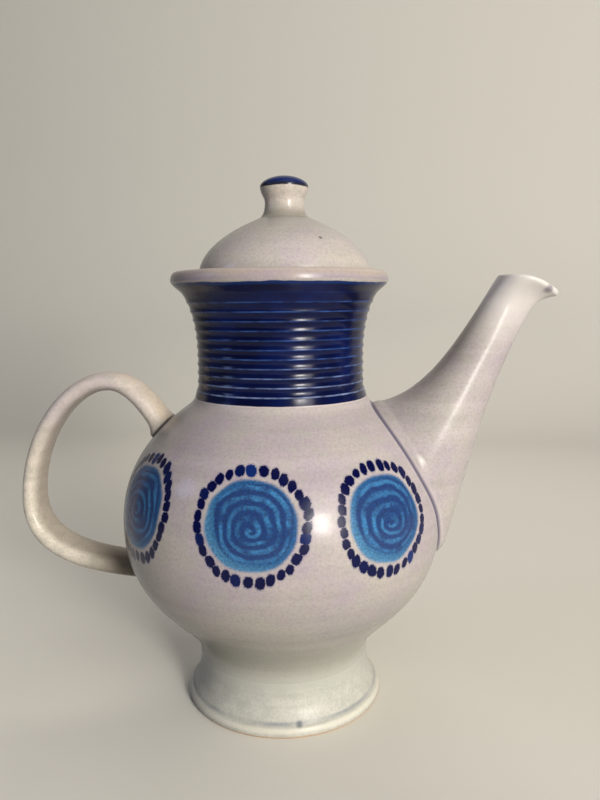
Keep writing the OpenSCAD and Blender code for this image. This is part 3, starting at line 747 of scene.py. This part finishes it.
def pressDabs(tree, plane, index, ragged):
    # ring of upright dabs, each a little different and leaning along the ring
    look = brushwork
    dabAngle = 2 * pi / look["dabs"]
    sides = addNode(tree, "ShaderNodeSeparateXYZ", {0: plane})
    turn = addNode(tree, "ShaderNodeMath", {0: sides.outputs[1], 1: sides.outputs[0]}, operation="ARCTAN2")
    steps = addNode(tree, "ShaderNodeMath", {0: turn, 1: 1 / dabAngle}, operation="MULTIPLY")
    cell = addNode(tree, "ShaderNodeMath", {0: steps}, operation="ROUND")
    which = addNode(tree, "ShaderNodeCombineXYZ", {0: cell, 1: index})
    chance = addNode(tree, "ShaderNodeTexWhiteNoise", {0: which})
    chances = addNode(tree, "ShaderNodeSeparateColor", {0: chance.outputs["Color"]})
    slip = addNode(tree, "ShaderNodeMath", {0: chances.outputs[0], 1: look["dabSlip"], 2: cell},
                   operation="MULTIPLY_ADD")
    slip = addNode(tree, "ShaderNodeMath", {0: slip, 1: look["dabSlip"] / 2}, operation="SUBTRACT")
    dabTurn = addNode(tree, "ShaderNodeMath", {0: slip, 1: dabAngle}, operation="MULTIPLY")
    outward = addNode(tree, "ShaderNodeMath", {0: chances.outputs[2], 1: look["dabStray"] * mm,
                                               2: (look["ring"] - look["dabStray"] / 2) * mm},
                      operation="MULTIPLY_ADD")
    dabX = addNode(tree, "ShaderNodeMath", {0: dabTurn}, operation="COSINE")
    dabY = addNode(tree, "ShaderNodeMath", {0: dabTurn}, operation="SINE")
    dabWay = addNode(tree, "ShaderNodeCombineXYZ", {0: dabX, 1: dabY})
    dabPlace = addNode(tree, "ShaderNodeVectorMath", {0: dabWay, "Scale": outward}, operation="SCALE")
    fromDab = addNode(tree, "ShaderNodeVectorMath", {0: plane, 1: dabPlace}, operation="SUBTRACT")
    twice = addNode(tree, "ShaderNodeMath", {0: dabTurn, 1: 2.0}, operation="MULTIPLY")
    swing = addNode(tree, "ShaderNodeMath", {0: twice}, operation="SINE")
    lean = addNode(tree, "ShaderNodeMath", {0: swing, 1: -look["dabLean"]}, operation="MULTIPLY")
    upright = addNode(tree, "ShaderNodeVectorRotate", {"Vector": fromDab, "Angle": lean},
                      rotation_type="Z_AXIS")
    dabSides = addNode(tree, "ShaderNodeSeparateXYZ", {0: upright})
    fatter = addNode(tree, "ShaderNodeMapRange", {0: chances.outputs[1], 3: 0.84, 4: 1.12})
    powers = []
    for side, size in ((dabSides.outputs[0], look["dabWide"]), (dabSides.outputs[1], look["dabTall"])):
        part = addNode(tree, "ShaderNodeMath", {0: side}, operation="ABSOLUTE")
        part = addNode(tree, "ShaderNodeMath", {0: part, 1: 2 / size / mm}, operation="MULTIPLY")
        part = addNode(tree, "ShaderNodeMath", {0: part, 1: fatter}, operation="DIVIDE")
        powers.append(addNode(tree, "ShaderNodeMath", {0: part, 1: 2.3}, operation="POWER"))
    blob = addNode(tree, "ShaderNodeMath", {0: powers[0], 1: powers[1]}, operation="ADD")
    blob = addNode(tree, "ShaderNodeMath", {0: ragged, 1: 1.5, 2: blob}, operation="MULTIPLY_ADD")
    dab = addNode(tree, "ShaderNodeMapRange", {0: blob, 1: 1.6, 2: 1.95, 3: 1.0, 4: 0.0},
                  interpolation_type="SMOOTHSTEP")
    bleed = addNode(tree, "ShaderNodeMapRange", {0: blob, 1: 1.7, 2: 2.8, 3: 0.4, 4: 0.0},
                    interpolation_type="SMOOTHSTEP")
    weak = addNode(tree, "ShaderNodeMath", {0: chances.outputs[1], 1: 14.0}, operation="POWER")
    dabTone = addNode(tree, "ShaderNodeMix", {0: weak, 6: tint(look["dab"]), 7: tint(look["thinDab"])},
                      data_type="RGBA")
    return bleed, dab, dabTone.outputs[2]


def paintMedallions(tree, axes, ground):
    index, spot = findMedallion(tree, axes)
    # an unsteady hand: lines wander by about half a millimetre, and edges are ragged
    hand = addNode(tree, "ShaderNodeTexNoise", {"Vector": spot, "Scale": 90.0, "Detail": 0.0})
    stray = brushwork["wander"] * mm
    drift = addNode(tree, "ShaderNodeVectorMath", {0: hand.outputs[1], 1: (stray, stray, 0),
                                                   2: (-stray / 2, -stray / 2, 0)}, operation="MULTIPLY_ADD")
    moved = addNode(tree, "ShaderNodeVectorMath", {0: spot, 1: drift}, operation="ADD")
    plane = addNode(tree, "ShaderNodeVectorMath", {0: moved, 1: (1, 1, 0)}, operation="MULTIPLY")
    oval = addNode(tree, "ShaderNodeVectorMath", {0: plane, 1: (1, 1 / brushwork["flatten"], 0)},
                   operation="MULTIPLY")
    ragged = addNode(tree, "ShaderNodeTexNoise", {"Vector": spot, "Scale": 1500.0, "Detail": 2.0})
    disc, blue = brushDisc(tree, spot, oval, ragged)
    bleed, dab, dabTone = pressDabs(tree, plane, index, ragged)
    # only on the outside, and not under the spout or the handle
    outside = addNode(tree, "ShaderNodeAttribute", attribute_name="outside").outputs["Fac"]
    size = addNode(tree, "ShaderNodeMath", {0: index}, operation="ABSOLUTE")
    shown = addNode(tree, "ShaderNodeMath", {0: size, 1: 0.5}, operation="GREATER_THAN")
    for value, limit, test in ((size, 3.5, "LESS_THAN"), (outside, 0.9, "GREATER_THAN")):
        allowed = addNode(tree, "ShaderNodeMath", {0: value, 1: limit}, operation=test)
        shown = addNode(tree, "ShaderNodeMath", {0: shown, 1: allowed}, operation="MULTIPLY")
    colour = ground
    for mask, paint in ((disc, blue), (bleed, brushwork["bleed"]), (dab, dabTone)):
        amount = addNode(tree, "ShaderNodeMath", {0: mask, 1: shown}, operation="MULTIPLY")
        colour = addNode(tree, "ShaderNodeMix", {0: amount, 6: colour, 7: tint(paint)},
                         data_type="RGBA").outputs[2]
    return colour


def paintSeam(tree, name, ground, layers):
    # glaze pooled dark in a joint, with what lies beside it: from, to, how much and which shade
    seam = addNode(tree, "ShaderNodeAttribute", attribute_name=name)
    near = addNode(tree, "ShaderNodeMath", {0: seam.outputs["Fac"]}, operation="ABSOLUTE")
    colour = ground
    for low, high, most, shade in layers:
        colour = layOver(tree, colour, shade, near, low * mm, high * mm, most)
    return colour


def paintLevel(tree, place, axes, ground, level, blur, shade, most=1.0, wander=0.5, above=False):
    # a shade below a level, or above it, whose edge wanders as glaze does
    wave = addNode(tree, "ShaderNodeTexNoise", {"Vector": place, "Scale": 95.0, "Detail": 2.0})
    height = addNode(tree, "ShaderNodeMath", {0: wave, 1: wander * 2 * mm, 2: axes.outputs[2]},
                     operation="MULTIPLY_ADD")
    half = -blur / 2 if above else blur / 2
    return layOver(tree, ground, shade, height, (level + wander - half) * mm,
                   (level + wander + half) * mm, most)


def paintLine(tree, axes, ground, level, half, shade, most):
    # glaze pooled in a groove, or thin on a ridge, that runs round at one level
    off = addNode(tree, "ShaderNodeMath", {0: axes.outputs[2], 1: level * mm}, operation="SUBTRACT")
    off = addNode(tree, "ShaderNodeMath", {0: off}, operation="ABSOLUTE")
    return layOver(tree, ground, shade, off, half * 0.25 * mm, half * mm, most)


def paintSpot(tree, place, ground, centre, size, shade, most=0.9):
    # one fleck, pool or stain at a known place
    away = addNode(tree, "ShaderNodeVectorMath", {0: place, 1: [c * mm for c in centre]},
                   operation="DISTANCE")
    return layOver(tree, ground, shade, away.outputs["Value"], size * 0.25 * mm, size * mm, most)


def startMaterial(name):
    material = bpy.data.materials.new(name)
    material.use_nodes = True
    tree = material.node_tree
    tree.nodes.clear()
    place = addNode(tree, "ShaderNodeTexCoord").outputs["Object"]
    return material, tree, place


def finishMaterial(tree, colour, rough, height, look):
    bump = addNode(tree, "ShaderNodeBump", {"Strength": 0.5, "Distance": look["bump"] * mm, "Height": height})
    shader = addNode(tree, "ShaderNodeBsdfPrincipled", {
        "Base Color": colour, "Roughness": rough, "Normal": bump, "IOR": look["ior"]})
    addNode(tree, "ShaderNodeOutputMaterial", {0: shader})


def dressPiece(piece, material, body, node):
    piece.data.materials.clear()
    piece.data.materials.append(material)
    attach(piece, body)
    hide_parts(node)


# foot: cream-grey, a broken dark pool above the bead, a pale break on it and bare clay at the very bottom
footLook = dict(greyGlaze, lilac="#b6b7af", warm="#bfbfb4", thin="#cfcdc1", grain="#9b9a91", melt="#adb0a5",
                gloss=0.33)
material, tree, place = startMaterial("stonewareGlazeFoot")
colour, rough, height, axes = groundGlaze(tree, place, footLook, 2, 30)
pool = addNode(tree, "ShaderNodeTexNoise", {"Vector": place, "Scale": 45.0, "Detail": 2.0})
lined = paintLine(tree, axes, colour, 5.4, 1.0, "#85898f", 0.75)
colour = layOver(tree, colour, lined, pool, 0.62, 0.4, 0.85, 0.15, soft=False)
colour = paintLine(tree, axes, colour, 3.2, 1.6, "#e0dccb", 0.7)
colour = paintSpot(tree, place, colour, (12.8, -42.3, 5.6), 2.3, "#4d5965", 0.8)
colour = paintLevel(tree, place, axes, colour, zBelly - 3, 7, "#bbbbb0", 0.75, 1.2, above=True)
colour = paintLevel(tree, place, axes, colour, 0.8, 0.6, "#dcb48a", 0.85, 0.25)
finishMaterial(tree, colour, rough, height, footLook)
dressPiece(footPiece, material, "pot", "pot_foot")

# belly: darker and greener towards its waist, partly its glaze and partly painted shade under the bulge, with
# a darker patch beside the handle's upper root that is partly painted shade, under the brushwork
# the belly's low tone: a darker green-grey glaze, deepened as painted shade where the belly turns under
# towards the foot
bellyLook = dict(greyGlaze, thin="#a8a698")
material, tree, place = startMaterial("stonewareGlazePaintedBelly")
colour, rough, height, axes = groundGlaze(tree, place, bellyLook, zBelly + 8.5, zMiddle + 3)
# a darker band round the lower belly: painted shadow under the bulge, over slightly darker glaze
colour = paintLine(tree, axes, colour, zBelly + 13.5, 10, "#a6a699", 0.5)
colour = paintLevel(tree, place, axes, colour, zBelly + 4.5, 11, "#bbbbb0", 0.75, 1.2)
# a darker brown patch beside the handle's upper root: smeared glaze, with painted shade from the handle
colour = paintSpot(tree, place, colour, (-46, -21.5, 130.5), 15, "#6c615e", 0.6)
colour = paintMedallions(tree, axes, colour)
# beside the handle's roots: a wide darker band, partly smeared glaze and partly painted shade from the strap,
# then the dark joint
colour = paintSeam(tree, "handleSeam", colour, [(1.0, 12.0, 0.55, "#786d6d"), (0.5, 2.1, 0.92, "#35323f")])
colour = paintSeam(tree, "spoutSeam", colour, [(1.1, 2.8, 0.4, "#d4c9c8"), (0.3, 2.0, 0.88, "#57536c")])
finishMaterial(tree, colour, rough, height, bellyLook)
dressPiece(bellyPiece, material, "pot", "pot_belly")

# spout: paler towards the lip, with a dark painted reflection under each side of the beak
spoutLook = dict(greyGlaze, lilac="#bbafb3", warm="#c4bcb5", gloss=0.27)
material, tree, place = startMaterial("stonewareGlazeSpout")
colour, rough, height, axes = groundGlaze(tree, place, spoutLook)
colour = paintLevel(tree, place, axes, colour, spout["lip"] - 7.6, 40, "#ece7df", 0.85, 3, above=True)
# painted reflection: a dark patch in the hollow under each side of the beak, where the dark room shows in the
# glaze
for side in (-1, 1):
    beakReflectionSpot = (spout["reach"] - 4, 6.8 * side, spout["lip"] + 2.9)
    colour = paintSpot(tree, place, colour, beakReflectionSpot, 3.4, "#6f6678", 0.7)
colour = paintSeam(tree, "seam", colour, [(0.7, 3.0, 0.5, "#d7cdcc"), (0.2, 1.4, 0.85, "#57536c")])
finishMaterial(tree, colour, rough, height, spoutLook)
dressPiece(spoutPiece, material, "pot", "spout")

# handle: the glaze ran thin and toasted on its outer edge; its inner edge is darker brown, partly painted
# shade, and its lower part is darkened by painted shade from the belly
handleLook = dict(greyGlaze, lilac="#cdc1bf", warm="#d9cdbf", thin="#e9e0cd", grain="#a79b92")
material, tree, place = startMaterial("stonewareGlazeHandle")
colour, rough, height, axes = groundGlaze(tree, place, handleLook, handleEnd[1] + 2.7, handleApex[1] - 7.7)
outer = addNode(tree, "ShaderNodeAttribute", attribute_name="outward")
lower = addNode(tree, "ShaderNodeMapRange", {0: axes.outputs[2], 1: (handleOut[1] + 14.9) * mm,
                                             2: (handleApex[1] - 2.7) * mm, 3: 0.65, 4: 0.15})
# outer edge: toasted thin glaze; inner edge: brown glaze with painted shade of the strap's side
for low, high, most, shade in ((4.6, 2.6, lower, "#dcc29a"), (-4.6, -2.4, 0.6, "#85786a")):
    colour = layOver(tree, colour, shade, outer.outputs["Fac"], low * mm, high * mm, most)
# painted shade: the belly shadows the strap's lower root, so a wide brown-grey patch is painted there
shadedLowRoot = sum(handleSeams[1], Vector()) / len(handleSeams[1])
colour = paintSpot(tree, place, colour, shadedLowRoot, 42, "#6a5f4e", 0.85)
colour = paintSeam(tree, "seam", colour, [(1.0, 6.0, 0.3, "#8b7f80"), (0.3, 1.6, 0.9, "#3c3839")])
finishMaterial(tree, colour, rough, height, handleLook)
dressPiece(handlePiece, material, "pot", "handle")

# collar: cobalt over ribs that break light on their crests, grey glaze inside and on the flare's edge
collarLook = dict(greyGlaze, gloss=0.17, bump=0.05)
writeValues(collarPiece, "outside",
            lambda co: float(hypot(co.x, co.y) / mm > readOutline(collarSide, co.z / mm) - 2))
material, tree, place = startMaterial("cobaltGlazeCollar")
grey, rough, height, axes = groundGlaze(tree, place, collarLook)
pool = addNode(tree, "ShaderNodeTexNoise", {"Vector": place, "Scale": 60.0, "Detail": 3.0})
colour = layOver(tree, cobaltGlaze["deep"], cobaltGlaze["bright"], pool, 0.75, 0.4, 0.7, soft=False)
ribPlace = addNode(tree, "ShaderNodeMath", {0: axes.outputs[2], 1: ribLow * mm}, operation="SUBTRACT")
ribPhase = addNode(tree, "ShaderNodeMath", {0: ribPlace, 1: 1 / (collar["pitch"] * mm)},
                   operation="MULTIPLY")
nearest = addNode(tree, "ShaderNodeMath", {0: ribPhase}, operation="ROUND")
ribTurn = addNode(tree, "ShaderNodeMath", {0: ribPhase, 1: nearest}, operation="SUBTRACT")
ribAway = addNode(tree, "ShaderNodeMath", {0: ribTurn}, operation="ABSOLUTE")
crest = addNode(tree, "ShaderNodeMapRange", {0: ribAway, 1: 0.035, 2: 0.11, 3: 1.0, 4: 0.0},
                interpolation_type="SMOOTHSTEP")
wearPlace = addNode(tree, "ShaderNodeMapping", {0: place, 3: (160.0, 160.0, 420.0)})
wear = addNode(tree, "ShaderNodeTexNoise", {"Vector": wearPlace, "Scale": 1.0, "Detail": 3.0})
worn = addNode(tree, "ShaderNodeMapRange", {0: wear, 1: 0.35, 2: 0.65, 3: 0.15, 4: 0.95})
inRibs = addNode(tree, "ShaderNodeMapRange", {0: axes.outputs[2], 1: (ribHigh + 0.6) * mm,
                                              2: (ribHigh + 1.2) * mm, 3: 1.0, 4: 0.18})
for share in (worn, inRibs):
    crest = addNode(tree, "ShaderNodeMath", {0: crest, 1: share}, operation="MULTIPLY")
crestTone = layOver(tree, cobaltGlaze["crest"], cobaltGlaze["lowCrest"], axes.outputs[2],
                    (zCollar + 2) * mm, (zCollar + 20) * mm, soft=False)  # the lowest ribs were wiped barest
colour = addNode(tree, "ShaderNodeMix", {0: crest, 6: colour, 7: crestTone}, data_type="RGBA").outputs[2]
colour = paintLevel(tree, place, axes, colour, zSeat - 2.2, 0.9, cobaltGlaze["edge"], 0.85, 0.5, above=True)
colour = paintLevel(tree, place, axes, colour, zSeat - 1.05, 0.35, grey, 1.0, 0.6, above=True)
colour = paintLevel(tree, place, axes, colour, zCollar + 0.45, 0.35, "#c6bbbb", 1.0, 0.2)
skin = addNode(tree, "ShaderNodeAttribute", attribute_name="outside")
colour = addNode(tree, "ShaderNodeMix", {0: skin.outputs["Fac"], 6: grey, 7: colour},
                 data_type="RGBA").outputs[2]
finishMaterial(tree, colour, rough, height, collarLook)
dressPiece(collarPiece, material, "pot", "pot_collar")

# rim: a thin warm edge, and lilac clouds on its lower half
rimLook = dict(greyGlaze, lilac="#ab9ea1", warm="#b5a79c", melt="#b0a596")
material, tree, place = startMaterial("stonewareGlazeRim")
colour, rough, height, axes = groundGlaze(tree, place, rimLook)
colour = paintLevel(tree, place, axes, colour, zSeat + 3.2, 1.6, "#c6b8ae", 0.6, 0.4, above=True)
cloud = addNode(tree, "ShaderNodeTexNoise", {"Vector": place, "Scale": 28.0, "Detail": 2.0})
lilac = paintLevel(tree, place, axes, colour, zSeat + 1.6, 2.4, "#938ba0", 0.75, 0.8)
colour = layOver(tree, colour, lilac, cloud, 0.62, 0.45, 0.8, 0.05, soft=False)
finishMaterial(tree, colour, rough, height, rimLook)
dressPiece(rimPiece, material, "pot", "pot_rim")

# dome and skirt: a pale lower edge, greenish pools round the knob and one dark fleck
lidLook = dict(greyGlaze, lilac="#b9afb0", warm="#c1b9b0")
material, tree, place = startMaterial("stonewareGlazeLid")
colour, rough, height, axes = groundGlaze(tree, place, lidLook)
colour = paintLevel(tree, place, axes, colour, zSeat + 1.6, 1.2, "#dad0c5", 0.6, 0.3)
for size, shade, most in ((32, "#9b978f", 0.7), (17, "#8f8b80", 0.8)):
    colour = paintSpot(tree, place, colour, (lid["shift"], 0, zKnob), size, shade, most)
colour = paintSpot(tree, place, colour, (20.9, -23.9, 210.2), 1.2, "#4a4448")
finishMaterial(tree, colour, rough, height, lidLook)
dressPiece(domePiece, material, "lid", "lid_dome")
dressPiece(skirtPiece, material, "lid", "lid_skirt")

# knob: a pool round its foot, and a cobalt cap that thins to blue above its dark edge
knobLook = dict(greyGlaze, lilac="#cdc1b7", warm="#d4c9b8", bump=0.05)
material, tree, place = startMaterial("stonewareGlazeKnobWithCobaltCap")
colour, rough, height, axes = groundGlaze(tree, place, knobLook)
colour = paintLevel(tree, place, axes, colour, zKnob + 3.6, 4.4, "#8f8b80", 0.9, 0.5)
colour = paintLevel(tree, place, axes, colour, knobTop - 5.2, 0.5, "#040a28", 0.97, 0.9, above=True)
colour = paintLevel(tree, place, axes, colour, knobTop - 3.8, 1.6, "#0a2462", 0.9, 0.5, above=True)
finishMaterial(tree, colour, rough, height, knobLook)
dressPiece(knobPiece, material, "lid", "lid_knob")
print("glazed:", len(bpy.data.materials), "materials")

# pale floor that bends up into a wall
stage = {"wide": 6.0, "front": 2.2, "deep": 1.1, "tall": 3.2, "bend": 0.5, "colour": "#eae7dc",
         "bounce": "#7f7d77", "gloss": 0.75, "specular": 0.2, "room": "#f1f0ee", "roomStrength": 0.12}
bpy.ops.object.select_all(action="DESELECT")
bpy.ops.mesh.primitive_plane_add(size=1, location=(0, 0, 0))
floorPiece, grid = startPiece("paleFloor")
for vert in grid.verts:
    vert.co = (vert.co.x * stage["wide"], -stage["front"] if vert.co.y < 0 else stage["deep"], 0)
bmesh.update_edit_mesh(floorPiece.data)
bpy.ops.mesh.select_mode(type="EDGE")


def pickFarEdge():  # selects the floor's far edge, where it meets the wall
    bpy.ops.mesh.select_all(action="DESELECT")
    for edge in grid.edges:
        edge.select_set(all(v.co.y > stage["deep"] - 0.01 and v.co.z < 0.01 for v in edge.verts))
    bmesh.update_edit_mesh(floorPiece.data)


pickFarEdge()
bpy.ops.mesh.extrude_region_move(TRANSFORM_OT_translate={"value": (0, 0, stage["tall"])})
pickFarEdge()
bpy.ops.mesh.bevel(offset=stage["bend"], segments=16)
bpy.ops.mesh.select_mode(type="VERT")
bpy.ops.mesh.select_all(action="SELECT")
bpy.ops.mesh.normals_make_consistent(inside=False)
bpy.ops.object.mode_set(mode="OBJECT")
bpy.ops.object.shade_smooth()
material = bpy.data.materials.new("paleSheet")
material.use_nodes = True
tree = material.node_tree
sheet = tree.nodes["Principled BSDF"]
ray = addNode(tree, "ShaderNodeLightPath")
seen = ray.outputs["Is Camera Ray"]
for kind in ("Is Glossy Ray", "Is Transmission Ray"):
    seen = addNode(tree, "ShaderNodeMath", {0: seen, 1: ray.outputs[kind]}, operation="MAXIMUM")
shown = addNode(tree, "ShaderNodeMix", {0: seen, 6: tint(stage["bounce"]), 7: tint(stage["colour"])},
                data_type="RGBA")
tree.links.new(shown.outputs[2], sheet.inputs["Base Color"])
sheet.inputs["Roughness"].default_value = stage["gloss"]
sheet.inputs["Specular IOR Level"].default_value = stage["specular"]
floorPiece.data.materials.append(material)

world = bpy.data.worlds.new("roomLight")
bpy.context.scene.world = world
world.use_nodes = True
background = world.node_tree.nodes["Background"]
background.inputs[0].default_value = tint(stage["room"])
background.inputs[1].default_value = stage["roomStrength"]

# lamps that look at the pot: degrees round and up, then metres, watts and colour
lights = {
    "window": {"turn": -50, "rise": 17, "away": 2.07, "wide": 0.83, "tall": 1.3, "power": 22,
               "tone": "#fffaf4"},
    "windowPane": {"turn": -55, "rise": 13, "away": 2.05, "wide": 0.36, "tall": 0.54, "power": 26,
                   "tone": "#fffaf4"},
    "roomSide": {"turn": -12, "rise": 18, "away": 2.2, "wide": 1.5, "tall": 1.3, "power": 6.5,
                 "tone": "#fff8f0"},
    "coolSide": {"turn": -160, "rise": 26, "away": 1.3, "wide": 0.26, "tall": 0.3, "power": 1.2,
                 "tone": "#a9c2ff"},
    "overhead": {"turn": -40, "rise": 72, "away": 1.5, "wide": 1.2, "tall": 1.2, "power": 2.7,
                 "tone": "#fffaf4"},
    "backFill": {"turn": 95, "rise": 40, "away": 0.75, "wide": 0.6, "tall": 0.3, "power": 1.6,
                 "tone": "#fff8f0"}}
aim = Vector((0, 0, 0.12))
for name, lamp in lights.items():
    turn, rise = radians(lamp["turn"]), radians(lamp["rise"])
    way = Vector((cos(turn) * cos(rise), sin(turn) * cos(rise), sin(rise)))
    bpy.ops.object.light_add(type="AREA")
    light = bpy.context.object
    light.name = name
    light.data.shape = "RECTANGLE"
    light.data.size, light.data.size_y = lamp["wide"], lamp["tall"]
    light.data.energy = lamp["power"]
    light.data.color = tint(lamp["tone"])[:3]
    light.visible_glossy = name not in ("roomSide", "backFill")  # these only fill, as walls do
    light.visible_camera = False
    light.location = aim + way * lamp["away"]
    light.rotation_euler = (-way).to_track_quat("-Z", "Y").to_euler()

view = {"place": (0.0492, -0.3148, 0.1840), "turn": 7.317, "down": 8.008, "tilt": -0.493, "lens": 31.30}
turn, down, tilt = radians(view["turn"]), radians(view["down"]), radians(view["tilt"])
right = Vector((cos(turn), sin(turn), 0))
ahead = Vector((-sin(turn) * cos(down), cos(turn) * cos(down), -sin(down)))
up = right.cross(ahead)
bpy.ops.object.camera_add(location=view["place"])
camera = bpy.context.object
camera.name = "shelfView"
camera.data.sensor_width = 36
camera.data.lens = view["lens"]
camera.data.clip_start = 0.02
tilted = (cos(tilt) * right + sin(tilt) * up, -sin(tilt) * right + cos(tilt) * up, -ahead)
camera.matrix_world = Matrix.Translation(view["place"]) @ Matrix(tilted).transposed().to_4x4()
bpy.context.scene.camera = camera
bpy.context.scene.view_settings.view_transform = "Standard"
print("light and camera set")
